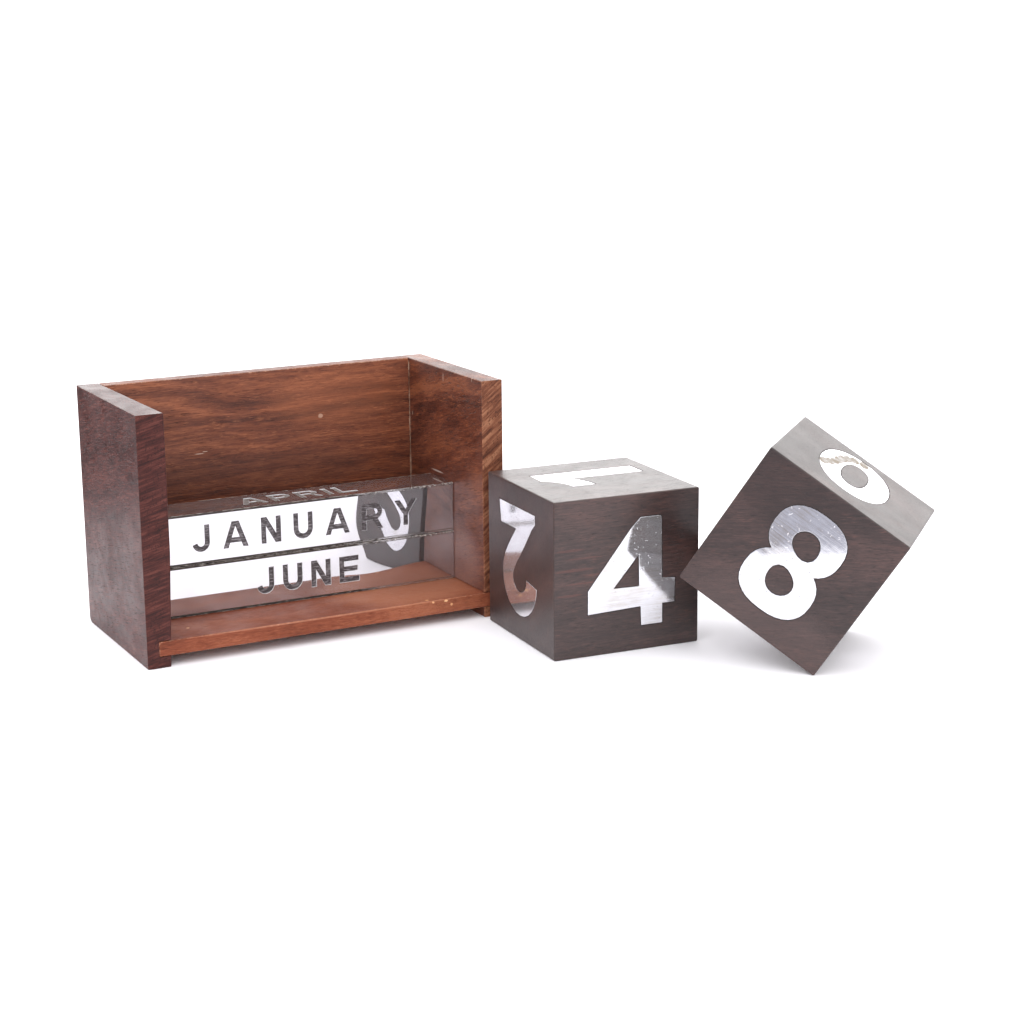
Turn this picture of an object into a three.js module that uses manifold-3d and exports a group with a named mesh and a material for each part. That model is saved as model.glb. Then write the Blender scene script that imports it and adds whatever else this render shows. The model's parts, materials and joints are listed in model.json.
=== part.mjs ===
// A perpetual block calendar: an open-fronted wooden tray, loose month bars faced with polished
// metal plates, and two loose wooden date cubes with polished metal numerals let into their faces.
// Units are millimetres, +Z is up and the open front of the tray faces -Y.

import * as THREE from 'three';
import { RoundedBoxGeometry } from 'three/addons/geometries/RoundedBoxGeometry.js';
import { mergeVertices } from 'three/addons/utils/BufferGeometryUtils.js';
import Module from 'manifold-3d';

// ---------------------------------------------------------------- driving dimensions

const TRAY = { width: 155.5, depth: 77, height: 100, side: 9.5, back: 7.2, board: 6.1, foot: 4.5 };
const HOUSING = 4.7;          // how far the floor board is let into each side panel
const HOUSING_SLACK = 0.3;    // gap left above the board in its housing
const GLUE_LINE = 0.1;        // gap at every glued joint
const ARRIS = 0.45;           // softened edge of the wooden panels
const REAR_FOOT_RADIUS = 2.6; // worn rounding at the bottom rear corner of a side panel
const SWELL = { thickness: 1.7, full: 45 }; // how much the left panel thickens, and by what height

const BRAD = { radius: 0.6, headRadius: 0.9, headDepth: 0.8, length: 16, sunk: 0.4, clearance: 0.1 };
const BACK_BRAD_HEIGHTS = [26, 80];
const BOARD_BRAD_DEPTHS = [16, 54];

const BAR = { length: 133.6, size: 20.8, front: 27.7, gap: 0.3, lift: 0.1 };
const PLATE = 0.8;            // thickness of the polished plates
const PLATE_GLUE = 0.1;       // glue between plate and wooden core
const ENGRAVING = 0.35;       // depth of the engraved month names
const CAP_HEIGHT = 11;
const LETTER_STROKE = 2.15;

const CUBE = { size: 63.5, edgeRadius: 0.7 };
const INLAY = { thickness: 1.4, recess: 0.05, gap: 0.3 };

// Where the first cube's bottom front left corner stands, and how far it is turned, in degrees.
const CUBE_ONE = { x: 141.7, y: -68, yaw: -3.89 };
// Where the front end of the edge that the second cube stands on is, and how it is turned and tilted.
const CUBE_TWO = { x: 218.52, y: -131.47, yaw: 47.2, tilt: 33.4 };

// ---------------------------------------------------------------- materials

function material(color, roughness, metalness) {
  return new THREE.MeshStandardMaterial({ color, roughness, metalness, flatShading: true });
}

const sheesham = () => material(0x6f4636, 0.5, 0);
const sheeshamSide = () => material(0x5d4038, 0.5, 0);
const boardWood = () => material(0x96604e, 0.55, 0);
const coreWood = () => material(0x8f7458, 0.8, 0);
const darkWood = () => material(0x4a3d3e, 0.55, 0);
const mirrorMetal = () => material(0xe6e6e8, 0.06, 1);
const polishedMetal = () => material(0xdfe0e4, 0.18, 1);
const steel = () => material(0x6a6460, 0.4, 1);

// ---------------------------------------------------------------- solids

const wasm = await Module();
wasm.setup();

function solidFrom(geometry) {
  const bare = new THREE.BufferGeometry();
  bare.setAttribute('position', geometry.getAttribute('position').clone());
  if (geometry.index) {
    bare.setIndex(geometry.index.clone());
  }
  const merged = mergeVertices(bare);
  const vertProperties = new Float32Array(merged.getAttribute('position').array);
  const triVerts = new Uint32Array(merged.index.array);
  return new wasm.Manifold(new wasm.Mesh({ numProp: 3, vertProperties, triVerts }));
}

function geometryFrom(solid) {
  const mesh = solid.asOriginal().getMesh();
  const geometry = new THREE.BufferGeometry();
  geometry.setAttribute('position', new THREE.BufferAttribute(mesh.vertProperties, mesh.numProp));
  geometry.setIndex(new THREE.BufferAttribute(mesh.triVerts, 1));
  geometry.computeVertexNormals();
  return geometry;
}

function box(width, depth, height) {
  return new THREE.BoxGeometry(width, depth, height);
}

function boxSolid(low, high) {
  const geometry = box(high[0] - low[0], high[1] - low[1], high[2] - low[2]);
  geometry.translate((low[0] + high[0]) / 2, (low[1] + high[1]) / 2, (low[2] + high[2]) / 2);
  return solidFrom(geometry);
}

function mesh(name, geometry, finish) {
  const piece = new THREE.Mesh(geometry, finish);
  piece.name = name;
  return piece;
}

// A flat shape lying in its own XY plane, raised to the given thickness.
function raised(points, thickness) {
  const shape = new THREE.Shape(points);
  return solidFrom(new THREE.ExtrudeGeometry(shape, { depth: thickness, bevelEnabled: false }));
}

// ---------------------------------------------------------------- outlines

const rad = THREE.MathUtils.degToRad;
const point = (x, y) => new THREE.Vector2(x, y);

// Points on an elliptical arc from one angle to another, in degrees, both ends included.
function arc(cx, cy, rx, ry, from, to, step) {
  const count = Math.max(2, Math.ceil(Math.abs(to - from) / step));
  const points = [];
  for (let i = 0; i <= count; i += 1) {
    const angle = rad(from + (to - from) * i / count);
    points.push(point(cx + rx * Math.cos(angle), cy + ry * Math.sin(angle)));
  }
  return points;
}

// A closed superellipse, squarer than an ellipse when its power is above 2.
function superellipse(cx, cy, rx, ry, power, count) {
  const points = [];
  for (let i = 0; i < count; i += 1) {
    const angle = 2 * Math.PI * i / count;
    const c = Math.cos(angle);
    const s = Math.sin(angle);
    const x = rx * Math.sign(c) * Math.abs(c) ** (2 / power);
    const y = ry * Math.sign(s) * Math.abs(s) ** (2 / power);
    points.push(point(cx + x, cy + y));
  }
  return points;
}

// An oval with one drawn-out side, as the eyes of a figure eight have.
function egg(cx, cy, rx, ry, tipAngle, reach, count) {
  const points = [];
  for (let i = 0; i < count; i += 1) {
    const angle = 2 * Math.PI * i / count;
    const pull = 1 + reach * Math.max(0, Math.cos(angle - rad(tipAngle))) ** 4;
    points.push(point(cx + rx * pull * Math.cos(angle), cy + ry * pull * Math.sin(angle)));
  }
  return points;
}

function curve(start, control, end, count) {
  return new THREE.QuadraticBezierCurve(start, control, end).getPoints(count);
}

// Each corner of a line moved sideways by the distance, along the mitre of its two sides.
function shifted(points, distance, closed) {
  return points.map((here, i) => {
    const before = points[(i + points.length - 1) % points.length];
    const after = points[(i + 1) % points.length];
    const first = here.clone().sub(before).normalize();
    const second = after.clone().sub(here).normalize();
    if (!closed && i === 0) {
      first.copy(second);
    }
    if (!closed && i === points.length - 1) {
      second.copy(first);
    }
    const normal = point(first.y + second.y, -first.x - second.x).normalize();
    const side = point(first.y, -first.x);
    return here.clone().addScaledVector(normal, distance / normal.dot(side));
  });
}

// The outline of a stroke of even width along an open centre line.
function stroke(centre, width) {
  const right = shifted(centre, width / 2, false);
  const left = shifted(centre, -width / 2, false);
  return right.concat(left.reverse());
}

function counterClockwise(points) {
  return THREE.ShapeUtils.area(points) < 0 ? points.slice().reverse() : points;
}

// The outline grown outwards all round, or shrunk where the distance is negative.
function grown(points, distance) {
  return distance === 0 ? points : shifted(counterClockwise(points), distance, true);
}

// ---------------------------------------------------------------- letters

// A letter is drawn in strokes from its left foot. It has its own width, open strokes as centre
// lines, and optionally rings, which are closed strokes. Strokes are trimmed at the cap height.

const H = CAP_HEIGHT;
const W = LETTER_STROKE;
const E = W / 2;              // centre line of a stroke along the left or bottom edge
const TOP = H - E;
const MIDDLE = 5.55;
const OVERRUN = 2;            // how far a slanting stroke runs past the cap height before trimming
const LETTER_STEP = 24;       // degrees between points on a letter's curves

function line(...numbers) {
  const points = [];
  for (let i = 0; i < numbers.length; i += 2) {
    points.push(point(numbers[i], numbers[i + 1]));
  }
  return points;
}

// A straight stroke that carries on past its second end.
function branch(x0, y0, x1, y1) {
  const from = point(x0, y0);
  const to = point(x1, y1);
  const along = to.clone().sub(from).normalize().multiplyScalar(OVERRUN);
  return [from, to.add(along)];
}

// A straight stroke that carries on past both its ends.
function slant(x0, y0, x1, y1) {
  const [start] = branch(x1, y1, x0, y0).slice(1);
  const [end] = branch(x0, y0, x1, y1).slice(1);
  return [start, end];
}

// A half-round bowl between two heights, starting and ending on the stem.
function bowl(low, high, straight) {
  const radius = (high - low) / 2;
  const round = arc(straight, low + radius, radius, radius, 90, -90, LETTER_STEP);
  return [point(E, high), ...round, point(E, low)];
}

function bend(cx, cy, rx, ry, from, to) {
  return arc(cx, cy, rx, ry, from, to, LETTER_STEP);
}

const LETTERS = {
  A: { width: 11, strokes: [slant(1.2, 0, 5.1, H), slant(9.8, 0, 5.9, H), line(2.4, 3.2, 8.6, 3.2)] },
  B: { width: 9, strokes: [line(E, 0, E, H), bowl(MIDDLE, TOP, 5.1), bowl(E, MIDDLE, 5.6)] },
  C: { width: 9.8, strokes: [bend(5.1, H / 2, 4, H / 2 - E, 48, 312)] },
  D: { width: 9.2, strokes: [line(E, 0, E, H), bowl(E, TOP, 3.7)] },
  E: { width: 8.9, strokes: [line(E, 0, E, H), line(E, TOP, 8.7, TOP), line(E, MIDDLE, 8.2, MIDDLE),
    line(E, E, 8.9, E)] },
  F: { width: 8.3, strokes: [line(E, 0, E, H), line(E, TOP, 8.3, TOP), line(E, MIDDLE, 7.4, MIDDLE)] },
  G: { width: 10.2, strokes: [bend(5.1, H / 2, 4, H / 2 - E, 48, 326), line(5.4, 4.7, 10.1, 4.7),
    line(9.03, 4.7, 9.03, 1.7)] },
  H: { width: 8.6, strokes: [line(E, 0, E, H), line(7.53, 0, 7.53, H), line(E, MIDDLE, 7.5, MIDDLE)] },
  I: { width: W, strokes: [line(E, 0, E, H)] },
  J: { width: 7.4, strokes: [[point(6.33, H), ...bend(3.7, E + 2.63, 2.63, 2.63, 0, -172)]] },
  L: { width: 8.2, strokes: [line(E, 0, E, H), line(E, E, 8.2, E)] },
  M: { width: 10.8, strokes: [line(E, 0, E, H), line(9.73, 0, 9.73, H), slant(1.3, H, 5.4, 0.4),
    slant(9.5, H, 5.4, 0.4)] },
  N: { width: 8.6, strokes: [line(E, 0, E, H), line(7.53, 0, 7.53, H), slant(1.25, H, 7.35, 0)] },
  O: { width: 10.4, strokes: [], rings: [bend(5.2, H / 2, 4.1, H / 2 - E, 0, 336)] },
  P: { width: 9, strokes: [line(E, 0, E, H), bowl(4.9, TOP, 5.4)] },
  R: { width: 9.6, strokes: [line(E, 0, E, H), bowl(5.2, TOP, 5.9), branch(5.5, 5.4, 8.5, 0)] },
  S: { width: 8.8, strokes: [[...bend(4.4, 7.75, 3.2, 2.17, 20, 250),
    ...bend(4.4, 3.33, 3.3, 2.25, 70, -162)]] },
  T: { width: 8.9, strokes: [line(0, TOP, 8.9, TOP), line(4.45, 0, 4.45, H)] },
  U: { width: 8.5, strokes: [[point(E, H), ...bend(4.25, E + 3.17, 3.17, 3.17, 180, 360),
    point(7.42, H)]] },
  V: { width: 10, strokes: [slant(1.1, H, 4.75, 0), slant(8.9, H, 5.25, 0)] },
  Y: { width: 9.9, strokes: [branch(4.95, 5, 1.05, H), branch(4.95, 5, 8.85, H),
    line(4.95, 0, 4.95, 5.4)] },
};

// The solid of one letter, standing on the origin and rising by the given thickness.
function letterSolid(letter, thickness) {
  const pieces = letter.strokes.map((centre) => raised(stroke(centre, W), thickness));
  for (const ring of letter.rings ?? []) {
    const hole = raised(grown(ring, -E), thickness);
    pieces.push(raised(grown(ring, E), thickness).subtract(hole));
  }
  const whole = wasm.Manifold.union(pieces);
  return whole.intersect(boxSolid([0, 0, 0], [letter.width, H, thickness]));
}

function wordSolid(word, spacing, thickness) {
  const letters = [...word].map((character) => LETTERS[character]);
  const length = letters.reduce((sum, letter) => sum + letter.width + spacing, -spacing);
  let x = -length / 2;
  const placed = letters.map((letter) => {
    const solid = letterSolid(letter, thickness).translate([x, -H / 2, 0]);
    x += letter.width + spacing;
    return solid;
  });
  return wasm.Manifold.union(placed);
}

// ---------------------------------------------------------------- numerals

// A numeral is centred on the origin. It has outlines that are joined and holes that are cut out.

const FIGURE_STROKE = 9.8;
const FIGURE_STEP = 15;       // degrees between points on a numeral's curves

function sweep(cx, cy, rx, ry, from, to) {
  return arc(cx, cy, rx, ry, from, to, FIGURE_STEP);
}

function figure(centre) {
  return stroke(centre, FIGURE_STROKE);
}

const NUMERALS = [
  { outlines: [superellipse(0, 0, 15.4, 23.3, 2.2, 36)], holes: [superellipse(0, 0, 5.7, 13.7, 2.3, 24)] },
  { outlines: [[point(0.8, -22.7), point(12, -22.7), point(12, 22.7), point(2.4, 22.7),
    ...curve(point(1.6, 22.7), point(-3, 15.5), point(-12.1, 14.8), 5),
    point(-12.1, 5), ...curve(point(-11.9, 5), point(-3.5, 6), point(0.8, 9.5), 4)]], holes: [] },
  { outlines: [figure([...sweep(-1.1, 7, 11.4, 10.5, 180, -12),
    ...curve(point(8.9, 2.2), point(5.4, -2.6), point(-0.6, -8.4), 3),
    ...curve(point(-1.4, -9.3), point(-5.6, -14), point(-8.2, -17.5), 2)]),
  line(-16, -22, 18, -22, 16.8, -12.8, -8, -12.8, -9.2, -12.6, -16, -18)], holes: [] },
  { outlines: [figure([...sweep(-0.6, 9.2, 9.6, 8, 158, -70), point(-3.4, 0.9)]),
    figure([point(-3.4, 0.9), ...sweep(-0.2, -8.1, 10.8, 9, 74, -160)])], holes: [] },
  { outlines: [line(-19.2, -15, 3.9, -14.2, 4.2, -22, 13.6, -22, 13.6, -14, 19, -14, 19.2, -4,
    13.4, -3.6, 13, 21.2, 12.2, 22, 3.6, 22, -0.8, 17.6, -19.2, -5.4)],
  holes: [line(-8, -5.6, 3.2, -5.8, 3, 7)] },
  { outlines: [line(-9.5, 22, 12.6, 22, 12.6, 12.8, -9.5, 12.8),
    line(-10.6, 22, -1.4, 22, -2.6, 4, -3.7, -2.5, -13.2, -1.2),
    figure(sweep(-0.6, -7, 11.2, 10.1, 118, -158))], holes: [] },
  { outlines: [superellipse(0.3, -7.9, 15.2, 14.1, 2.2, 30),
    figure([...sweep(2.2, -2, 12.6, 19.1, 196, 52)])], holes: [superellipse(0.3, -8.1, 5.3, 5.6, 2.1, 18)] },
  { outlines: [[point(-15.5, 22), point(15.5, 22), point(15.5, 14.4),
    ...curve(point(15.2, 14), point(3, 0), point(0.2, -22), 5), point(-10.6, -22),
    ...curve(point(-10.4, -21.4), point(-7, -2), point(3.2, 12.8), 5), point(-15.5, 12.8)]], holes: [] },
  { outlines: [superellipse(0, 10.3, 15, 12.3, 2.4, 32), superellipse(0, -10.2, 15.1, 12.3, 2.4, 32)],
    holes: [egg(0.2, 9, 5.6, 5.1, -55, 0.28, 20), egg(0.2, -9.2, 5.6, 5.2, 122, 0.28, 20)] },
];

function numeralSolid(value, growth, thickness) {
  const { outlines, holes } = NUMERALS[value];
  const bodies = outlines.map((outline) => raised(grown(outline, growth), thickness));
  const solid = wasm.Manifold.union(bodies);
  const cuts = holes.map((hole) => raised(grown(hole, -growth), thickness));
  return cuts.length ? solid.subtract(wasm.Manifold.union(cuts)) : solid;
}

// ---------------------------------------------------------------- tray

const innerLeft = TRAY.side;
const innerRight = TRAY.width - TRAY.side;
const boardTop = TRAY.foot + TRAY.board;
const backMiddle = TRAY.depth - TRAY.back / 2;
const boardMiddle = TRAY.foot + TRAY.board / 2;

// Where the brads go through a side panel, as depth and height on its outer face.
const bradPlaces = [
  ...BACK_BRAD_HEIGHTS.map((height) => [backMiddle, height]),
  ...BOARD_BRAD_DEPTHS.map((depth) => [depth, boardMiddle]),
];

// A brad lies along +X with its head at the origin end.
function bradGeometry(growth) {
  const { radius, headRadius, headDepth, length } = BRAD;
  const profile = [
    point(0, -growth), point(headRadius + growth, -growth), point(headRadius + growth, headDepth + growth),
    point(radius + growth, headDepth + growth), point(radius + growth, length + growth),
    point(0, length + growth),
  ];
  return new THREE.LatheGeometry(profile, 8).rotateZ(-Math.PI / 2);
}

// A brad hole as it is cut from outside, open at the surface.
function bradCut(growth, fromLeft, depth, height) {
  const shank = solidFrom(bradGeometry(growth));
  const mouthRadius = BRAD.headRadius + growth;
  const mouth = solidFrom(new THREE.CylinderGeometry(mouthRadius, mouthRadius, 2, 8).rotateZ(Math.PI / 2));
  const whole = shank.add(mouth.translate([-1, 0, 0]));
  const turned = fromLeft ? whole : whole.mirror([1, 0, 0]);
  return turned.translate([fromLeft ? BRAD.sunk : TRAY.width - BRAD.sunk, depth, height]);
}

function bradCuts(fromLeft) {
  const cuts = bradPlaces.map(([depth, height]) => bradCut(BRAD.clearance, fromLeft, depth, height));
  return wasm.Manifold.union(cuts);
}

// A board seen square on, with softened arrises all round; it rises along +Z from the origin.
function softBoard(points, thickness) {
  const shape = new THREE.Shape(points);
  const geometry = new THREE.ExtrudeGeometry(shape, {
    depth: thickness - 2 * ARRIS,
    bevelEnabled: true,
    bevelThickness: ARRIS,
    bevelSize: ARRIS,
    bevelOffset: -ARRIS,
    bevelSegments: 2,
  });
  return geometry.translate(0, 0, ARRIS);
}

// The left panel was planed unevenly: its inner face swells upwards along the front edge, and not
// at all where the back panel meets it.
function swell() {
  const back = TRAY.depth - TRAY.back;
  const points = [];
  for (const [sunk, inset] of [[ARRIS, 0], [0, ARRIS]]) {
    const top = TRAY.height - inset;
    points.push([innerLeft + SWELL.thickness - sunk, inset, SWELL.full]);
    points.push([innerLeft + SWELL.thickness - sunk, inset, top]);
    points.push([innerLeft - sunk, inset, ARRIS]);
    points.push([innerLeft - sunk, back, ARRIS], [innerLeft - sunk, back, top]);
  }
  const root = innerLeft - 2;
  points.push([root, 0, ARRIS], [root, 0, TRAY.height], [root, back, ARRIS], [root, back, TRAY.height]);
  return wasm.Manifold.hull(points);
}

// A side panel: front and top corners crisp, the bottom rear corner worn round.
function sidePanel(fromLeft) {
  const r = REAR_FOOT_RADIUS;
  const outline = [
    point(0, 0),
    ...arc(TRAY.depth - r, r, r, r, -90, 0, 22.5),
    point(TRAY.depth, TRAY.height),
    point(0, TRAY.height),
  ];
  const board = softBoard(outline, TRAY.side);
  // The outline was drawn as depth and height; turn it upright with its thickness along +X.
  board.rotateX(Math.PI / 2).rotateZ(Math.PI / 2);
  const left = fromLeft ? 0 : innerRight;
  const grooveLeft = fromLeft ? innerLeft - HOUSING : innerRight - 1;
  const groove = boxSolid(
    [grooveLeft, -1, TRAY.foot - GLUE_LINE],
    [grooveLeft + HOUSING + 1, TRAY.depth + 1, boardTop + HOUSING_SLACK],
  );
  const plain = solidFrom(board.translate(left, 0, 0));
  const whole = fromLeft ? plain.add(swell()) : plain;
  return whole.subtract(groove).subtract(bradCuts(fromLeft));
}

// The back panel stands on the floor board, between the side panels.
function backPanel() {
  const width = innerRight - innerLeft - 2 * GLUE_LINE;
  const bottom = boardTop + GLUE_LINE;
  const height = TRAY.height - bottom;
  const outline = [point(0, 0), point(width, 0), point(width, height), point(0, height)];
  const board = softBoard(outline, TRAY.back).rotateX(Math.PI / 2);
  board.translate(innerLeft + GLUE_LINE, TRAY.depth, bottom);
  return solidFrom(board).subtract(bradCuts(true)).subtract(bradCuts(false));
}

// The floor board runs the full depth, its ends in the housings of the side panels.
function floorBoard() {
  const reach = HOUSING - GLUE_LINE;
  const width = innerRight - innerLeft + 2 * reach;
  const outline = [point(0, 0), point(width, 0), point(width, TRAY.depth), point(0, TRAY.depth)];
  const board = softBoard(outline, TRAY.board).translate(innerLeft - reach, 0, TRAY.foot);
  return solidFrom(board).subtract(bradCuts(true)).subtract(bradCuts(false));
}

function brads() {
  const places = ['back_lower', 'back_upper', 'floor_front', 'floor_rear'];
  const pieces = [];
  for (const side of ['left', 'right']) {
    bradPlaces.forEach(([depth, height], i) => {
      const brad = mesh(`brad_${side}_${places[i]}`, bradGeometry(0), steel());
      brad.position.set(side === 'left' ? BRAD.sunk : TRAY.width - BRAD.sunk, depth, height);
      brad.rotation.z = side === 'left' ? 0 : Math.PI;
      pieces.push(brad);
    });
  }
  return pieces;
}

function tray() {
  const group = new THREE.Group();
  group.add(mesh('side_panel_left', geometryFrom(sidePanel(true)), sheeshamSide()));
  group.add(mesh('side_panel_right', geometryFrom(sidePanel(false)), sheeshamSide()));
  group.add(mesh('back_panel', geometryFrom(backPanel()), sheesham()));
  group.add(mesh('floor_board', geometryFrom(floorBoard()), boardWood()));
  group.add(...brads());
  return group;
}

// ---------------------------------------------------------------- month bars

const coreSize = BAR.size - 2 * (PLATE + PLATE_GLUE);
const facePlateHeight = BAR.size - 2 * (PLATE + PLATE_GLUE);

// The four sides of a bar in the order in which they come to the front when it is rolled forward:
// each plate lies in its own XY plane, and the turn about X brings its outer face outwards.
const BAR_SIDES = [
  { side: 'front', turn: 90, height: facePlateHeight },
  { side: 'bottom', turn: 180, height: BAR.size },
  { side: 'back', turn: 270, height: facePlateHeight },
  { side: 'top', turn: 0, height: BAR.size },
];

// A plate with a month engraved in it, its polished face up at half a bar's size above the origin.
function monthPlate(height, word, spacing) {
  const plate = boxSolid(
    [-BAR.length / 2, -height / 2, BAR.size / 2 - PLATE],
    [BAR.length / 2, height / 2, BAR.size / 2],
  );
  const cutter = wordSolid(word, spacing, 1).translate([0, 0, BAR.size / 2 - ENGRAVING]);
  return geometryFrom(plate.subtract(cutter));
}

function monthBar(name, words, depth, height) {
  const bar = new THREE.Group();
  bar.add(mesh(`${name}_core`, box(BAR.length, coreSize, coreSize), coreWood()));
  BAR_SIDES.forEach(({ side, turn, height: plateHeight }, i) => {
    const { month, spacing } = words[i];
    const geometry = monthPlate(plateHeight, month, spacing).rotateX(rad(turn));
    bar.add(mesh(`${name}_${side}_plate_${month.toLowerCase()}`, geometry, mirrorMetal()));
  });
  const middle = innerRight - 0.2 - BAR.length / 2;
  bar.position.set(middle, depth + BAR.size / 2, height + BAR.size / 2);
  return bar;
}

const WIDE = 5.5;
const EVEN = 4;
const CLOSE = 2.7;
const MONTHS = {
  month_bar_1: [['JANUARY', WIDE], ['FEBRUARY', EVEN], ['MARCH', EVEN], ['APRIL', CLOSE]],
  month_bar_2: [['JUNE', EVEN], ['JULY', EVEN], ['AUGUST', EVEN], ['MAY', EVEN]],
  month_bar_3: [['SEPTEMBER', CLOSE], ['OCTOBER', EVEN], ['NOVEMBER', EVEN], ['DECEMBER', EVEN]],
};

function monthBars() {
  const lowerHeight = boardTop + BAR.lift;
  const upperHeight = lowerHeight + BAR.size + BAR.gap;
  const rearDepth = BAR.front + BAR.size + BAR.gap;
  const places = {
    month_bar_1: [BAR.front, upperHeight],
    month_bar_2: [BAR.front, lowerHeight],
    month_bar_3: [rearDepth, lowerHeight],
  };
  return Object.entries(MONTHS).map(([name, months]) => {
    const words = months.map(([month, spacing]) => ({ month, spacing }));
    return monthBar(name, words, ...places[name]);
  });
}

// ---------------------------------------------------------------- date cubes

// Turns a numeral drawn in the XY plane so that it faces outwards with its top the given way.
function facing(outward, up) {
  const out = new THREE.Vector3(...outward);
  const top = new THREE.Vector3(...up);
  const right = top.clone().cross(out);
  return new THREE.Matrix4().makeBasis(right, top, out);
}

const FRONT = [0, -1, 0];
const BACK = [0, 1, 0];
const LEFT = [-1, 0, 0];
const RIGHT = [1, 0, 0];
const UP = [0, 0, 1];
const DOWN = [0, 0, -1];

// Each face of a cube: the numeral, the way it faces, the way its top points, and how far its
// middle is off the middle of the face.
const CUBE_ONE_FACES = [
  { value: 4, outward: FRONT, up: UP, shift: [2, 0.2] },
  { value: 2, outward: LEFT, up: DOWN, shift: [2.2, -0.8] },
  { value: 1, outward: UP, up: LEFT, shift: [3.6, -2.5] },
  { value: 5, outward: RIGHT, up: UP, shift: [0, 0] },
  { value: 3, outward: BACK, up: UP, shift: [0, 0] },
  { value: 0, outward: DOWN, up: BACK, shift: [0, 0] },
];
const CUBE_TWO_FACES = [
  { value: 8, outward: FRONT, up: UP, shift: [0.1, -0.1] },
  { value: 0, outward: UP, up: BACK, shift: [-1.1, 2.9] },
  { value: 7, outward: RIGHT, up: UP, shift: [0, 0] },
  { value: 6, outward: LEFT, up: UP, shift: [0, 0] },
  { value: 2, outward: BACK, up: UP, shift: [0, 0] },
  { value: 1, outward: DOWN, up: BACK, shift: [0, 0] },
];

function onFace(solid, face, level) {
  const lifted = solid.translate([face.shift[0], face.shift[1], level]);
  return lifted.transform(facing(face.outward, face.up).toArray());
}

function dateCube(name, faces) {
  const group = new THREE.Group();
  const half = CUBE.size / 2;
  const pocketDepth = INLAY.recess + INLAY.thickness + INLAY.gap;
  let block = solidFrom(new RoundedBoxGeometry(CUBE.size, CUBE.size, CUBE.size, 2, CUBE.edgeRadius));
  const inlays = faces.map((face) => {
    const pocket = numeralSolid(face.value, INLAY.gap, pocketDepth + 1);
    block = block.subtract(onFace(pocket, face, half - pocketDepth));
    const inlay = numeralSolid(face.value, 0, INLAY.thickness);
    const geometry = geometryFrom(onFace(inlay, face, half - INLAY.recess - INLAY.thickness));
    return mesh(`${name}_numeral_${face.value}`, geometry, polishedMetal());
  });
  group.add(mesh(`${name}_block`, geometryFrom(block), darkWood()), ...inlays);
  return group;
}

// The first cube stands flat in front of the tray's right end, turned a little.
function dateCubeOne() {
  const cube = dateCube('date_cube_1', CUBE_ONE_FACES);
  const half = CUBE.size / 2;
  const middle = point(half, half).rotateAround(point(0, 0), rad(CUBE_ONE.yaw));
  cube.position.set(CUBE_ONE.x + middle.x, CUBE_ONE.y + middle.y, half);
  cube.rotation.z = rad(CUBE_ONE.yaw);
  return cube;
}

// The second cube stands on one edge and leans on the first cube's front right corner.
function dateCubeTwo() {
  const cube = dateCube('date_cube_2', CUBE_TWO_FACES);
  const half = CUBE.size / 2;
  const r = CUBE.edgeRadius;
  // The cube rolls on the rounding of its edge, so the rounding's centre line is the pivot.
  cube.position.set(r - half, half, half - r);
  const leaning = new THREE.Group();
  leaning.add(cube);
  leaning.rotation.set(0, rad(CUBE_TWO.tilt), 0);
  const turned = new THREE.Group();
  turned.add(leaning);
  turned.rotation.z = rad(-CUBE_TWO.yaw);
  turned.position.set(CUBE_TWO.x, CUBE_TWO.y, r);
  return turned;
}

// ---------------------------------------------------------------- the whole set

const calendar = new THREE.Group();
calendar.add(tray(), ...monthBars(), dateCubeOne(), dateCubeTwo());

// The origin is the middle of the whole set's footprint, on the surface it stands on.
calendar.updateMatrixWorld(true);
const extent = new THREE.Box3().setFromObject(calendar, true);
const middle = extent.getCenter(new THREE.Vector3());
calendar.position.set(-middle.x, -middle.y, -extent.min.z);
calendar.updateMatrixWorld(true);

export default calendar;
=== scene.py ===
"""The looks of a perpetual block calendar: an open wooden tray, mirror-faced month bars and two date cubes.

Lengths in the frame are metres. Material patterns work in millimetres of each piece's own space.
"""
import json
import math
import random

import bmesh
import bpy
from mathutils import Euler, Matrix, Vector, noise

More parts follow.
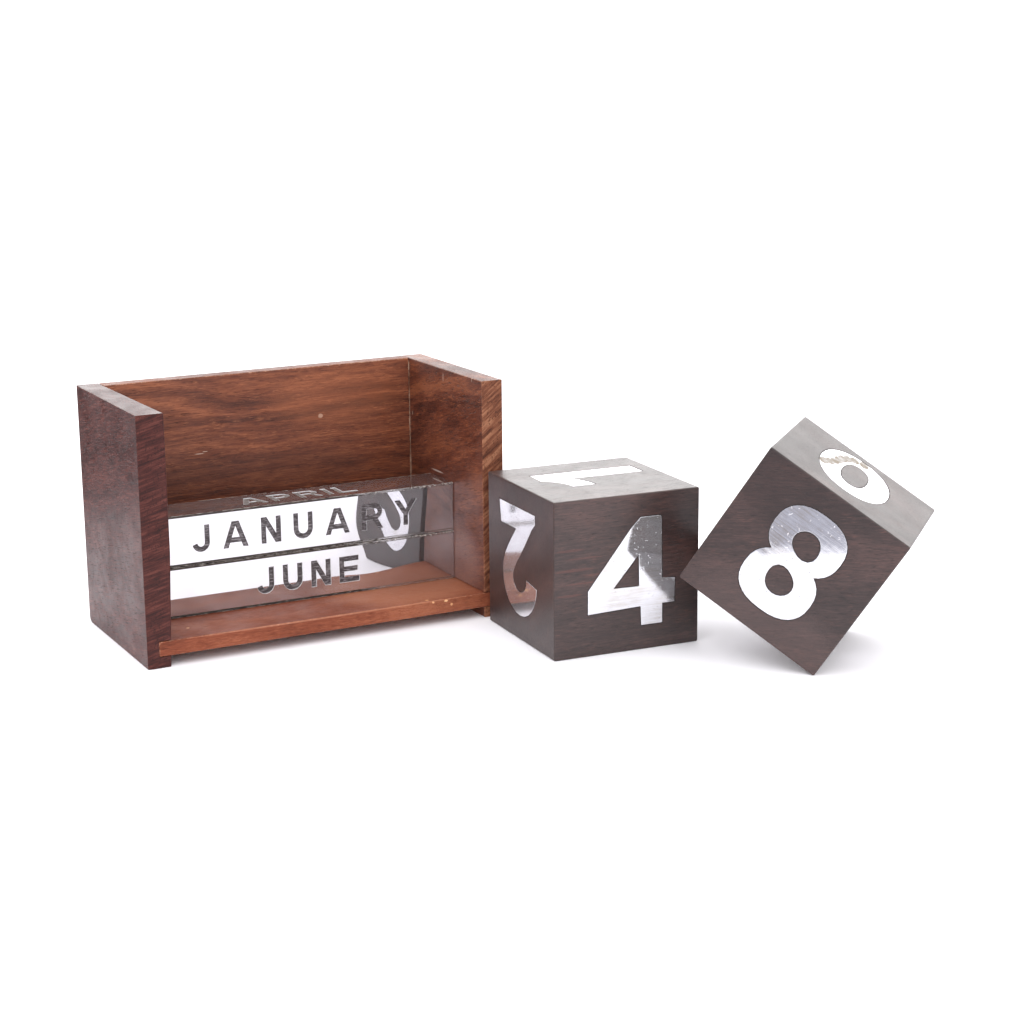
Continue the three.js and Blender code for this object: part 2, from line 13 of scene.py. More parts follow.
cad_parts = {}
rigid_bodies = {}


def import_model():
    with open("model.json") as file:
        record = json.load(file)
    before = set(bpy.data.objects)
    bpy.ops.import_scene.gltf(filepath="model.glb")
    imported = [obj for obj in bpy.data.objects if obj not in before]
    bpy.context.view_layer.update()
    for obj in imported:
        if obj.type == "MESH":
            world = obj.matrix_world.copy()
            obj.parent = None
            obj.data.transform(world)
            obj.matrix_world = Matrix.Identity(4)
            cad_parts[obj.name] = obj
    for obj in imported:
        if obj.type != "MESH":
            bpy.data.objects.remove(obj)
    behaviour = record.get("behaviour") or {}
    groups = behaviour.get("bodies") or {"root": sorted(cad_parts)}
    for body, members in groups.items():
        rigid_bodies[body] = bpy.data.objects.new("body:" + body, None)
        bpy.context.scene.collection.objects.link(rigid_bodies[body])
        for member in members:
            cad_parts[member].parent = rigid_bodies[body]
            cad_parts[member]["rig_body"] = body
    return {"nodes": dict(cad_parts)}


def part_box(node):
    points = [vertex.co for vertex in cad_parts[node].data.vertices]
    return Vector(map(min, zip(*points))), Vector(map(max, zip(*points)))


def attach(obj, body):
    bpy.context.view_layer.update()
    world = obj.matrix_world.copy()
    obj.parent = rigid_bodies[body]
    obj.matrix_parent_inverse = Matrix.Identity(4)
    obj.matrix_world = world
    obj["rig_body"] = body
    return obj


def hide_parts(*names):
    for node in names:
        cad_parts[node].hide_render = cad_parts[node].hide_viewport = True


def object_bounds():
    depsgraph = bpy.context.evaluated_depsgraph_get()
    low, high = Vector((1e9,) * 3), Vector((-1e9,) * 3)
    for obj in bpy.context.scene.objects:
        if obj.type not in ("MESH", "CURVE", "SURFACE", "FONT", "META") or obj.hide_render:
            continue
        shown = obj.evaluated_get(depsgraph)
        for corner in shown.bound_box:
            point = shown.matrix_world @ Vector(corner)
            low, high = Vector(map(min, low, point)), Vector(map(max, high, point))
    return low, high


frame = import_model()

CAD_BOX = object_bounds()
MM = 0.001
IDENTITY = Matrix.Identity(4)

BARS = ["month_bar_1", "month_bar_2", "month_bar_3"]
# Each cube's numerals, the one on its front face first and the one on its top face second.
CUBES = {"date_cube_1": [4, 1, 2, 5, 3, 0], "date_cube_2": [8, 0, 7, 6, 2, 1]}

# How far the arrises of each kind of piece are rounded.
BOARD_ARRIS = 0.12 * MM
CORE_ARRIS = 0.1 * MM
PLATE_ARRIS = 0.06 * MM
CUBE_ARRIS = 0.06 * MM
NUMERAL_ARRIS = 0.18 * MM
SHARP_EDGE = math.radians(40)
SHADED_EDGE = math.radians(32)

# The cosine past which a face counts as looking in a direction, before and after edges are rounded.
FLAT = 0.99
NEARLY_FLAT = 0.98
# Points closer than this along a direction are at the same level.
SAME_LEVEL = 0.01 * MM


# ------------------------------------------------------------------ colours and shader nodes

def rgb(red, green, blue):
    """A display colour of 0 to 255 as the linear colour that a shader takes."""
    values = [c / 255 for c in (red, green, blue)]
    return (*[v / 12.92 if v <= 0.04045 else ((v + 0.055) / 1.055) ** 2.4 for v in values], 1.0)


class Shader:
    """One material, built from nodes round a single Principled shader."""

    def __init__(self, name, constants=()):
        self.material = bpy.data.materials.new(name)
        self.material.use_nodes = True
        self.tree = self.material.node_tree
        self.surface = self.tree.nodes["Principled BSDF"]
        for socket, value in dict(constants).items():
            self.surface.inputs[socket].default_value = value

    def node(self, kind, inputs=(), **settings):
        node = self.tree.nodes.new("ShaderNode" + kind)
        for key, value in settings.items():
            setattr(node, key, value)
        for key, value in dict(inputs).items():
            if isinstance(value, bpy.types.NodeSocket):
                self.tree.links.new(value, node.inputs[key])
            else:
                node.inputs[key].default_value = value
        return node

    def math(self, operation, a, b=0.0, clamp=False):
        return self.node("Math", {0: a, 1: b}, operation=operation, use_clamp=clamp).outputs[0]

    def add(self, a, b, clamp=False):
        return self.math("ADD", a, b, clamp)

    def subtract(self, a, b):
        return self.math("SUBTRACT", a, b)

    def times(self, a, b):
        return self.math("MULTIPLY", a, b)

    def vector(self, operation, a, b=(0.0, 0.0, 0.0)):
        return self.node("VectorMath", {0: a, 1: b}, operation=operation).outputs[0]

    def length(self, a):
        return self.node("VectorMath", {0: a}, operation="LENGTH").outputs["Value"]

    def split(self, vector):
        return self.node("SeparateXYZ", {0: vector}).outputs

    def mapped(self, vector, location=(0, 0, 0), rotation=(0, 0, 0), scale=(1, 1, 1)):
        """A vector turned by angles in degrees, scaled and moved."""
        turn = [math.radians(a) for a in rotation]
        return self.node("Mapping", {0: vector, 1: location, 2: turn, 3: scale}).outputs[0]

    def noise(self, vector, scale=1.0, detail=2.0, roughness=0.5):
        settings = {"Vector": vector, "Scale": scale, "Detail": detail, "Roughness": roughness}
        return self.node("TexNoise", settings).outputs[0]

    def noise_along(self, value, scale, detail, roughness):
        """Noise that changes with a single number."""
        node = self.node("TexNoise", noise_dimensions="1D")
        self.tree.links.new(value, node.inputs["W"])
        node.inputs["Scale"].default_value = scale
        node.inputs["Detail"].default_value = detail
        node.inputs["Roughness"].default_value = roughness
        return node.outputs[0]

    def stretch(self, value, low, high, start=0.0, end=1.0):
        """Maps low..high smoothly to start..end, and holds it there outside."""
        return self.node("MapRange", {0: value, 1: low, 2: high, 3: start, 4: end},
                         interpolation_type="SMOOTHSTEP").outputs[0]

    def mix(self, factor, a, b):
        return self.node("Mix", {0: factor, 6: a, 7: b}, data_type="RGBA").outputs[2]

    def ramp(self, factor, stops):
        node = self.node("ValToRGB", {0: factor})
        elements = node.color_ramp.elements
        while len(elements) < len(stops):
            elements.new(0.5)
        for element, (position, colour) in zip(elements, stops):
            element.position = position
            element.color = colour
        return node.outputs[0]

    def bump(self, height, depth):
        """Relief of the given depth in metres."""
        node = self.node("Bump", {"Height": height, "Distance": depth, "Strength": 1.0})
        self.tree.links.new(node.outputs[0], self.surface.inputs["Normal"])

    def set(self, socket, value):
        self.tree.links.new(value, self.surface.inputs[socket])

    def millimetres(self, centre=(0, 0, 0)):
        """The piece's own coordinates in millimetres from the given point, which is in metres."""
        own = self.node("TexCoord").outputs["Object"]
        return self.mapped(own, location=[-c / MM for c in centre], scale=(1 / MM, 1 / MM, 1 / MM))

    def arris_distance(self, centred, half):
        """How far a point on a box's surface is from the nearest edge, in millimetres.

        On a face one of the three distances is nought, so the middle one is the one to an edge."""
        away = self.vector("SUBTRACT", half, self.vector("ABSOLUTE", centred))
        x, y, z = self.split(away)
        least, most = self.math("MINIMUM", x, y), self.math("MAXIMUM", x, y)
        return self.math("MAXIMUM", least, self.math("MINIMUM", most, z))

    def spot(self, centred, at, radii, ragged=0.5):
        """1 inside a small ragged ellipsoid and 0 outside it."""
        offset = self.vector("DIVIDE", self.vector("SUBTRACT", centred, at), radii)
        edge = self.times(self.noise(centred, 2.5, 2.0), ragged)
        return self.stretch(self.add(self.length(offset), edge), 1.15, 0.75)


# ------------------------------------------------------------------ materials

WOOD_LOOK = {"band": 9.0, "figure": 0.5, "fibre": 0.35, "cloud": 0.3, "pores": 0.55, "wear": 0.5,
             "wear_width": 0.9, "rough": (0.36, 0.52), "relief": 0.00006, "wander": 22.0, "mottle": 3.0,
             "flecks": 0.5, "streak": 0.2}
# How strongly figure, fibre and cloud swing the tone between dark and light.
TONE_SWING = 2.6


def wood(name, centre, half, turn, pith, tones, look=(), marks=()):
    """Sheesham with growth bands round a pith, fibres, pores and worn arrises.

    centre is in metres and half, the box's half size, in millimetres. turn brings the grain to X.
    pith is the growth centre's place across the grain, and how far it leans along it.
    tones are the dark, middle and light wood, the pore and the worn arris.
    look changes entries of WOOD_LOOK. marks are spots, each a place, radii, a colour and a share."""
    dark, middle, light, pore_tone, wear_tone = tones
    look = {**WOOD_LOOK, "fleck_tone": light, **dict(look)}
    s = Shader(name, look.get("constants", ()))
    centred = s.millimetres(centre)
    along = s.mapped(centred, rotation=turn)
    mottle = s.noise(s.mapped(along, location=(2, 8, 5), scale=(0.08, 0.3, 0.3)), detail=3.0, roughness=0.65)
    fibre = s.noise(s.mapped(along, scale=(look["streak"], 2.0, 2.0)), detail=3.0, roughness=0.75)
    pores = s.stretch(s.noise(s.mapped(along, scale=(0.3, 2.6, 2.6)), detail=1.0), 0.6, 0.72)
    tone = wood_tone(s, along, pith, look, mottle, fibre)
    colour = s.ramp(tone, [(0.12, dark), (0.5, middle), (0.88, light)])
    colour = s.mix(s.times(pores, look["pores"]), colour, pore_tone)
    colour = s.mix(s.times(wood_flecks(s, along, mottle), look["flecks"]), colour, look["fleck_tone"])
    colour = s.mix(s.times(worn_arris(s, centred, half, look), look["wear"]), colour, wear_tone)
    for at, radii, tint, share in marks:
        colour = s.mix(s.times(s.spot(centred, at, radii), share), colour, tint)
    if "end" in look:
        colour = end_grain(s, centred, half, look, colour)
    s.set("Base Color", colour)
    low, high = look["rough"]
    polish = s.noise(centred, 0.09, 3.0, 0.6)
    rough = s.stretch(s.add(polish, s.times(fibre, 0.25)), 0.4, 0.85, low, high)
    s.set("Roughness", s.add(rough, s.times(pores, 0.15), clamp=True))
    height = s.subtract(s.times(fibre, 0.8), s.times(pores, 0.8))
    s.bump(s.add(height, s.times(s.noise(centred, 0.35, 2.0), 0.8)), look["relief"])
    return s.material


def wood_tone(s, along, pith, look, mottle, fibre):
    """0 in the darkest wood and 1 in the lightest: growth bands, fibres and broad clouds."""
    wander = s.noise(s.mapped(along, scale=(0.013, 0.045, 0.045)), detail=2.0)
    x, y, z = s.split(along)
    across = s.add(s.subtract(y, pith[0]), s.times(x, pith[2]))
    radius = s.length(s.node("CombineXYZ", {1: across, 2: s.subtract(z, pith[1])}).outputs[0])
    radius = s.add(radius, s.times(wander, look["wander"]))
    radius = s.add(radius, s.times(mottle, look["mottle"]))
    band = s.noise_along(radius, 1 / look["band"], 3.0, 0.62)
    cloud = s.noise(s.mapped(along, location=(7, 3, 1), scale=(0.018, 0.05, 0.05)), detail=2.0)
    tone = s.times(s.subtract(band, 0.5), TONE_SWING * look["figure"])
    tone = s.add(tone, s.times(s.subtract(fibre, 0.5), TONE_SWING * look["fibre"]))
    tone = s.add(tone, s.times(s.subtract(cloud, 0.5), TONE_SWING * look["cloud"]))
    return s.add(tone, 0.5, clamp=True)


def wood_flecks(s, along, mottle):
    """Short bright flecks along the grain, thicker where the wood is mottled."""
    glints = s.noise(s.mapped(along, location=(5, 9, 2), scale=(0.28, 3.0, 3.0)), detail=3.0, roughness=0.7)
    return s.stretch(s.add(glints, s.times(s.subtract(mottle, 0.5), 0.7)), 0.58, 0.74)


def worn_arris(s, centred, half, look):
    """1 on a ragged strip along the box's edges, where handling has rubbed the wood pale."""
    width = look["wear_width"]
    ragged = s.times(s.noise(centred, 0.7, 3.0, 0.7), width * 2.2)
    return s.stretch(s.add(s.arris_distance(centred, half), ragged), width * 1.5, width * 0.9)


def end_grain(s, centred, half, look, colour):
    """Sawn end grain on the front and back edges of a panel: slanting rings, and pores end on."""
    tones, fine = look["end"], look["end_fine"]
    depth = s.math("ABSOLUTE", s.split(centred)[1])
    sawn = s.stretch(depth, half.y - 0.4, half.y - 0.15)
    slanted = s.mapped(centred, rotation=(0, look["end_slant"], 0))
    rings = s.noise(s.mapped(slanted, scale=(0.07 * fine, 0.2, 0.75 * fine)), detail=4.0, roughness=0.7)
    cut = s.ramp(rings, list(zip((0.36, 0.5, 0.66), tones)))
    pits = s.stretch(s.noise(s.mapped(centred, scale=(1.6, 1.6, 0.9)), detail=2.0), 0.6, 0.68)
    pit_tone = (*[c * 0.45 for c in tones[0][:3]], 1.0)
    cut = s.mix(s.times(pits, 0.6), cut, pit_tone)
    s.set("Specular IOR Level", s.stretch(sawn, 0, 1, 0.5, 0.2))
    return s.mix(sawn, colour, cut)


def mirror_metal():
    """The faces of the plates: mirror polish with a thin haze, hairlines, and a slight unevenness."""
    s = Shader("mirror_metal", {"Metallic": 0.95})
    at = s.millimetres()
    film = s.noise(at, 0.05, 3.0, 0.6)
    s.set("Base Color", s.ramp(film, [(0.3, rgb(214, 211, 214)), (0.7, rgb(226, 224, 228))]))
    strokes = s.mapped(at, rotation=(8, 0, 14), scale=(0.05, 5, 5))
    hairs = s.stretch(s.noise(strokes, detail=1.0), 0.68, 0.78)
    haze = s.stretch(s.noise(at, 0.11, 3.0, 0.65), 0.45, 0.8, 0.015, 0.06)
    s.set("Roughness", s.add(haze, s.times(hairs, 0.05)))
    warp = s.stretch(s.split(at)[0], -75, -25)
    s.bump(s.times(s.noise(at, 0.032, 0.0), warp), 0.0009)
    return s.material


def plate_edge_metal():
    """The sawn edge of a plate: dull and smeared with glue at one end, filed bright at the other."""
    s = Shader("plate_edge_metal")
    at = s.millimetres()
    grit = s.noise(s.mapped(at, scale=(0.5, 2.2, 2.2)), detail=3.0, roughness=0.7)
    filed = s.times(s.stretch(s.split(at)[0], -64, -4), 0.5)
    bare = s.stretch(s.add(grit, filed), 0.64, 0.8)
    glued = s.ramp(grit, [(0.3, rgb(30, 22, 20)), (0.52, rgb(50, 40, 36)), (0.74, rgb(104, 92, 82))])
    s.set("Base Color", s.mix(bare, glued, rgb(200, 196, 196)))
    s.set("Metallic", s.times(bare, 0.9))
    s.set("Roughness", s.stretch(bare, 0, 1, 0.62, 0.08))
    s.bump(grit, 0.00003)
    return s.material


def enamel():
    """Dark enamel over the tool marks of the engraving; their ridges carry a painted highlight, and letters
    that face up are painted paler as painted light from above.
    """
    s = Shader("enamel", {"Specular IOR Level": 0.2})
    at = s.millimetres()
    mottle = s.noise(at, 0.9, 3.0, 0.7)
    hatch = s.noise(s.mapped(at, scale=(0.3, 2.4, 2.4)), detail=2.0, roughness=0.7)
    dark = s.ramp(mottle, [(0.3, rgb(50, 44, 46)), (0.6, rgb(76, 70, 72)), (0.8, rgb(108, 102, 105))])
    # The ridges of the tool marks are painted paler: a painted highlight on real ridges.
    lines = s.times(s.stretch(hatch, 0.5, 0.64), 0.55)
    colour = s.mix(lines, dark, rgb(162, 156, 160))
    # Painted light from above: letters whose faces look up are painted paler.
    up = s.stretch(s.split(s.node("TexCoord").outputs["Normal"])[2], 0.4, 0.9)
    painted_top_light = s.times(up, s.stretch(mottle, 0.3, 0.6, 0.25, 0.55))
    s.set("Base Color", s.mix(painted_top_light, colour, rgb(140, 132, 126)))
    s.set("Roughness", s.stretch(mottle, 0.3, 0.8, 0.35, 0.6))
    s.bump(s.add(hatch, s.times(mottle, 0.6)), 0.00016)
    return s.material


def lip_metal():
    """The filed lips of the engraving, which catch the light."""
    s = Shader("lip_metal", {"Metallic": 0.3})
    grit = s.noise(s.millimetres(), 1.7, 3.0, 0.7)
    s.set("Base Color", s.ramp(grit, [(0.3, rgb(190, 187, 188)), (0.6, rgb(238, 236, 238))]))
    s.set("Roughness", s.stretch(grit, 0.3, 0.7, 0.3, 0.5))
    s.bump(grit, 0.00004)
    return s.material


def polished_metal(name, smear=()):
    """The numerals: polished by hand along one direction, with fine scratches and small dents.

    smear is the places of a dried brown film that was never wiped off."""
    s = Shader(name, {"Metallic": 0.88})
    at = s.millimetres()
    strokes = s.noise(s.mapped(at, rotation=(0, 12, 0), scale=(0.06, 2.6, 2.6)), detail=4.0, roughness=0.7)
    cloud = s.noise(at, 0.06, 3.0, 0.6)
    tone = s.add(s.times(strokes, 0.5), s.times(cloud, 0.5))
    colour = s.ramp(tone, [(0.3, rgb(196, 188, 180)), (0.5, rgb(222, 222, 227)), (0.7, rgb(236, 236, 239))])
    rough = s.stretch(s.add(strokes, s.times(cloud, 0.4)), 0.5, 0.95, 0.03, 0.11)
    if smear:
        film = dried_film(s, at, smear)
        colour = s.mix(film, colour, rgb(126, 112, 92))
        rough = s.add(rough, s.times(film, 0.6))
        s.set("Metallic", s.stretch(film, 0, 0.6, 0.88, 0.0))
        s.set("Specular IOR Level", s.stretch(film, 0, 0.6, 0.5, 0.0))
    s.set("Base Color", colour)
    s.set("Roughness", rough)
    dents = s.stretch(s.noise(at, 0.9, 1.0), 0.7, 0.8)
    s.bump(s.add(s.times(strokes, 0.12), s.subtract(cloud, dents)), 0.00005)
    return s.material


def dried_film(s, at, places):
    """How much of the metal a patchy film hides, which runs from place to place."""
    film = 0.0
    for place in places:
        film = s.math("MAXIMUM", film, s.spot(at, place, (2.6, 4.6, 2.0), 0.25))
    return s.times(film, s.stretch(s.noise(at, 0.25, 3.0, 0.7), 0.3, 0.6, 0.45, 0.85))


def dull(name, tones, rough, relief=0.0001, scale=2.0, metallic=0.0):
    """A small plain substance, such as glue or cement, with mottled colour and a rough skin."""
    s = Shader(name, {"Metallic": metallic})
    mottle = s.noise(s.millimetres(), scale, 4.0, 0.7)
    s.set("Base Color", s.ramp(mottle, [(0.3, tones[0]), (0.7, tones[1])]))
    s.set("Roughness", s.stretch(mottle, 0.3, 0.7, *rough))
    s.bump(mottle, relief)
    return s.material


# ------------------------------------------------------------------ mesh work

def add_object(name, mesh, place=IDENTITY):
    piece = bpy.data.objects.new(name, mesh)
    bpy.context.scene.collection.objects.link(piece)
    piece.matrix_world = place
    return piece


def mesh_from(bm, name):
    mesh = bpy.data.meshes.new(name)
    bm.to_mesh(mesh)
    bm.free()
    return mesh


def finish_mesh(bm, name, materials):
    """Turns a bmesh into a mesh that is smooth except at its sharp edges."""
    bmesh.ops.recalc_face_normals(bm, faces=bm.faces)
    mesh = mesh_from(bm, name)
    for material in materials:
        mesh.materials.append(material)
    mesh.shade_smooth()
    mesh.set_sharp_from_angle(angle=SHADED_EDGE)
    return mesh


def even_normals(piece):
    """Keeps large flat faces flat in the shading beside their rounded arrises."""
    piece.modifiers.new("even_normals", "WEIGHTED_NORMAL").keep_sharp = True
    return piece


def cad_bmesh(node, place=IDENTITY):
    """A CAD node's solid as a clean bmesh in the given space, its flat faces made whole."""
    bm = bmesh.new()
    bm.from_mesh(frame["nodes"][node].data)
    bmesh.ops.transform(bm, matrix=place.inverted(), verts=bm.verts)
    bmesh.ops.remove_doubles(bm, verts=bm.verts, dist=0.002 * MM)
    bmesh.ops.dissolve_limit(bm, angle_limit=math.radians(0.6), verts=bm.verts, edges=bm.edges)
    return bm


def soften(bm, width, keep=lambda edge: True, segments=2):
    """Rounds the sharp edges that keep() accepts."""
    edges = [e for e in bm.edges
             if len(e.link_faces) == 2 and e.calc_face_angle(0) > SHARP_EDGE and keep(e)]
    bmesh.ops.bevel(bm, geom=edges, offset=width, segments=segments, profile=0.5, affect="EDGES",
                    clamp_overlap=True)


def dressed(node, material, width, slot, place=IDENTITY):
    """A softened copy of a CAD node, which stands for it and rides on its body."""
    bm = cad_bmesh(node, place)
    soften(bm, width)
    piece = add_object(f"{node}_finished", finish_mesh(bm, node, [material]), place)
    settled(even_normals(piece), slot, node)


def settled(piece, slot, *nodes, body=None):
    """Rides the piece on its body and lets it stand for CAD nodes; slot is not used."""
    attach(piece, body or frame["nodes"][nodes[0]]["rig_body"])
    if nodes:
        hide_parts(*nodes)


def thicken(bm, faces, rise):
    """Keeps only the given faces and makes them a closed solid, raised by a vector."""
    keep = set(faces)
    bmesh.ops.delete(bm, geom=[f for f in bm.faces if f not in keep], context="FACES")
    raised = bmesh.ops.extrude_face_region(bm, geom=list(bm.faces))
    verts = [g for g in raised["geom"] if isinstance(g, bmesh.types.BMVert)]
    bmesh.ops.translate(bm, vec=rise, verts=verts)
    bmesh.ops.recalc_face_normals(bm, faces=bm.faces)


def highest(bm, direction):
    """How far a bmesh reaches in a direction."""
    return max(v.co.dot(direction) for v in bm.verts)


def box_of(node):
    """A node's middle in metres and its half size in millimetres."""
    low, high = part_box(node)
    return (low + high) / 2, (high - low) / (2 * MM)


def middle_of(node):
    low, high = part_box(node)
    return (low + high) / 2


def rope(bm, start, end, radius, spread, seed, steps, sides=6):
    """A closed, uneven bead along a line; radius(t) is its radius at a share t of the way."""
    start, end = Vector(start), Vector(end)
    along = (end - start).normalized()
    side = along.orthogonal().normalized()
    other = along.cross(side)
    rings = []
    for i in range(steps + 1):
        t = i / steps
        sideways = noise.noise((i * 0.7, seed, 0.3)) * spread
        otherways = noise.noise((seed, i * 0.7, 7.1)) * spread
        middle = start.lerp(end, t) + (side * sideways + other * otherways)
        ring = []
        for k in range(sides):
            angle = 2 * math.pi * k / sides
            r = radius(t) * (1 + 0.45 * noise.noise((i * 0.9, k * 1.7, seed)))
            ring.append(bm.verts.new(middle + (side * math.cos(angle) + other * math.sin(angle)) * r))
        rings.append(ring)
    for first, second in zip(rings, rings[1:]):
        for k in range(sides):
            bm.faces.new((first[k], first[(k + 1) % sides], second[(k + 1) % sides], second[k]))
    bm.faces.new(rings[0])
    bm.faces.new(rings[-1][::-1])


# ------------------------------------------------------------------ the tray

# In the boards' marks, places and radii are millimetres from the middle of each board.

def left_panel_wood():
    centre, half = box_of("side_panel_left")
    tones = [rgb(34, 10, 9), rgb(62, 24, 22), rgb(100, 54, 47), rgb(22, 8, 7), rgb(176, 150, 138)]
    look = {"rough": (0.4, 0.58), "wear": 0.45, "wear_width": 0.6, "figure": 0.15, "cloud": 0.15,
            "fibre": 0.7, "pores": 0.4, "band": 6.0, "relief": 0.00005, "streak": 0.14,
            "constants": {"Coat Weight": 0.1, "Coat Roughness": 0.3, "Specular IOR Level": 0.3},
            "end": (rgb(42, 14, 12), rgb(62, 24, 20), rgb(88, 44, 37)), "end_slant": 14.0, "end_fine": 1.5}
    bruises = [((-4.7, -38.3, 8), (0.9, 0.9, 1.3), rgb(222, 172, 132), 0.9),
               ((-4.7, -38.3, 3), (0.7, 0.9, 1.0), rgb(214, 160, 120), 0.9),
               ((-4.7, -38.3, -24), (0.7, 0.8, 1.6), rgb(196, 140, 108), 0.8)]
    return wood("left_panel_wood", centre, half, (12, 0, -90), (-28, -53, 0.05), tones, look, bruises)


def right_panel_wood():
    centre, half = box_of("side_panel_right")
    tones = [rgb(58, 24, 15), rgb(92, 46, 30), rgb(124, 70, 45), rgb(38, 16, 10), rgb(190, 142, 112)]
    look = {"rough": (0.4, 0.55), "wear": 0.45, "figure": 0.45, "fibre": 0.5, "wander": 48.0,
            "mottle": 6.0, "flecks": 0.4, "fleck_tone": rgb(164, 96, 62),
            "constants": {"Specular IOR Level": 0.35},
            "end": (rgb(72, 38, 25), rgb(112, 66, 46), rgb(148, 100, 74)), "end_slant": 38.0, "end_fine": 1.0}
    # A greyish patch low on the inner face is painted sheen: the pale floor's reflection painted into the
    # colour.
    painted_sheen_patch = ((-4.7, -6, -30), (3, 40, 24), rgb(150, 118, 112), 0.45)
    scratches = [((-4.7, -2.6, 46.4), (1, 0.25, 2.6), rgb(206, 180, 164), 0.7),
                 ((-4.7, -29.5, 49.6), (1, 0.25, 1.8), rgb(206, 180, 164), 0.7),
                 ((-4.7, 28.6, 26), (1, 0.6, 1.3), rgb(190, 164, 146), 0.5),
                 ((-4.7, 4.5, 4.6), (1, 7.5, 0.5), rgb(196, 180, 170), 0.5)]
    return wood("right_panel_wood", centre, half, (14, 0, -90), (-45, -45, 0.05), tones, look,
                [painted_sheen_patch, *scratches])


def back_panel_wood():
    centre, half = box_of("back_panel")
    tones = [rgb(58, 24, 14), rgb(102, 52, 32), rgb(140, 80, 51), rgb(40, 17, 10), rgb(190, 148, 124)]
    look = {"rough": (0.42, 0.58), "band": 7.5, "figure": 0.45, "fibre": 0.45, "cloud": 0.3,
            "flecks": 0.45, "mottle": 1.8, "streak": 0.12, "pores": 0.5,
            "fleck_tone": rgb(166, 100, 66), "constants": {"Specular IOR Level": 0.35}}
    dark_band = ((-5, -3.6, 1), (76, 6, 12), rgb(60, 29, 21), 0.4)
    pale_corner = ((34, -3.6, 30), (44, 6, 16), rgb(154, 90, 58), 0.25)
    pale_spot = ((26, -3.6, 23), (1.5, 1.1, 1.3), rgb(206, 170, 146), 0.42)
    scratches = [((-29, -3.6, 12.2), (2.8, 1, 0.3), rgb(206, 176, 156), 0.5),
                 ((-26.6, -3.6, 12.9), (1.6, 1, 0.25), rgb(206, 176, 156), 0.5)]
    return wood("back_panel_wood", centre, half, (0, 0, 0), (20, 70, 0.04), tones, look,
                [dark_band, pale_corner, pale_spot, *scratches])


def floor_board_wood():
    centre, half = box_of("floor_board")
    tones = [rgb(84, 40, 26), rgb(122, 64, 44), rgb(154, 92, 66), rgb(66, 32, 21), rgb(190, 142, 116)]
    look = {"rough": (0.4, 0.55), "figure": 0.2, "fibre": 0.4, "pores": 0.35, "flecks": 0.3,
            "constants": {"Specular IOR Level": 0.15}}
    pale_end = ((42, -14, 3), (44, 34, 20), rgb(172, 112, 84), 0.6)
    rubbed_arris = ((0, -38.4, 2.8), (80, 0.7, 0.6), rgb(182, 126, 100), 0.4)
    nicks = [((42.7, -36.6, 3), (1.1, 0.9, 0.6), rgb(230, 176, 128), 0.8),
             ((44.6, -38.4, 2.3), (0.8, 0.9, 0.6), rgb(230, 176, 128), 0.8),
             ((50.5, -38.4, 2.2), (1.2, 0.9, 0.7), rgb(236, 184, 136), 0.9),
             ((53.0, -38.4, 0.4), (0.8, 0.9, 0.8), rgb(226, 170, 122), 0.7),
             ((-56.7, -25.7, 3), (0.9, 0.9, 0.6), rgb(226, 170, 122), 0.7)]
    return wood("floor_board_wood", centre, half, (0, 0, 3), (60, -90, 0.02), tones, look,
                [pale_end, rubbed_arris, *nicks])


def make_tray():
    left, right = left_panel_wood(), right_panel_wood()
    dressed("side_panel_left", left, BOARD_ARRIS, "side_panel_wood")
    dressed("side_panel_right", right, BOARD_ARRIS, "side_panel_wood")
    dressed("back_panel", back_panel_wood(), BOARD_ARRIS, "back_panel_wood")
    dressed("floor_board", floor_board_wood(), BOARD_ARRIS, "floor_board_wood")
    make_putty("left", left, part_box("side_panel_left")[0].x, 1)
    make_putty("right", right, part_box("side_panel_right")[1].x, -1)
    make_corner_glue()
    steel = dull("brad_steel", [rgb(82, 78, 76), rgb(140, 134, 130)], (0.3, 0.5), metallic=1.0)
    for name, node in frame["nodes"].items():
        if name.startswith("brad_"):
            node.data.materials.clear()
            node.data.materials.append(steel)


# The putty plugs are thin discs, PUTTY_MIDDLE in from the panel's outer face.
PUTTY_RADIUS = 0.98 * MM
PUTTY_DEPTH = 0.36 * MM
PUTTY_MIDDLE = 0.2 * MM
PUTTY_ARRIS = 0.05 * MM


def make_putty(side, material, face, inward):
    """Coloured putty, smoothed flush over the sunk heads of the brads in a side panel.

    face is the x of the panel's outer face, and inward is 1 or -1 along x."""
    name = f"brad_{side}_putty"
    bm = bmesh.new()
    turn = Matrix.Rotation(math.radians(90), 4, "Y")
    for node in sorted(frame["nodes"]):
        if node.startswith(f"brad_{side}"):
            head = middle_of(node)
            place = Vector((face + inward * PUTTY_MIDDLE, head.y, head.z))
            bmesh.ops.create_cone(bm, cap_ends=True, segments=20, radius1=PUTTY_RADIUS,
                                  radius2=PUTTY_RADIUS, depth=PUTTY_DEPTH,
                                  matrix=Matrix.Translation(place) @ turn)
    soften(bm, PUTTY_ARRIS, segments=1)
    piece = add_object(name, finish_mesh(bm, name, [material]))
    settled(piece, "side_panel_wood", body="tray")


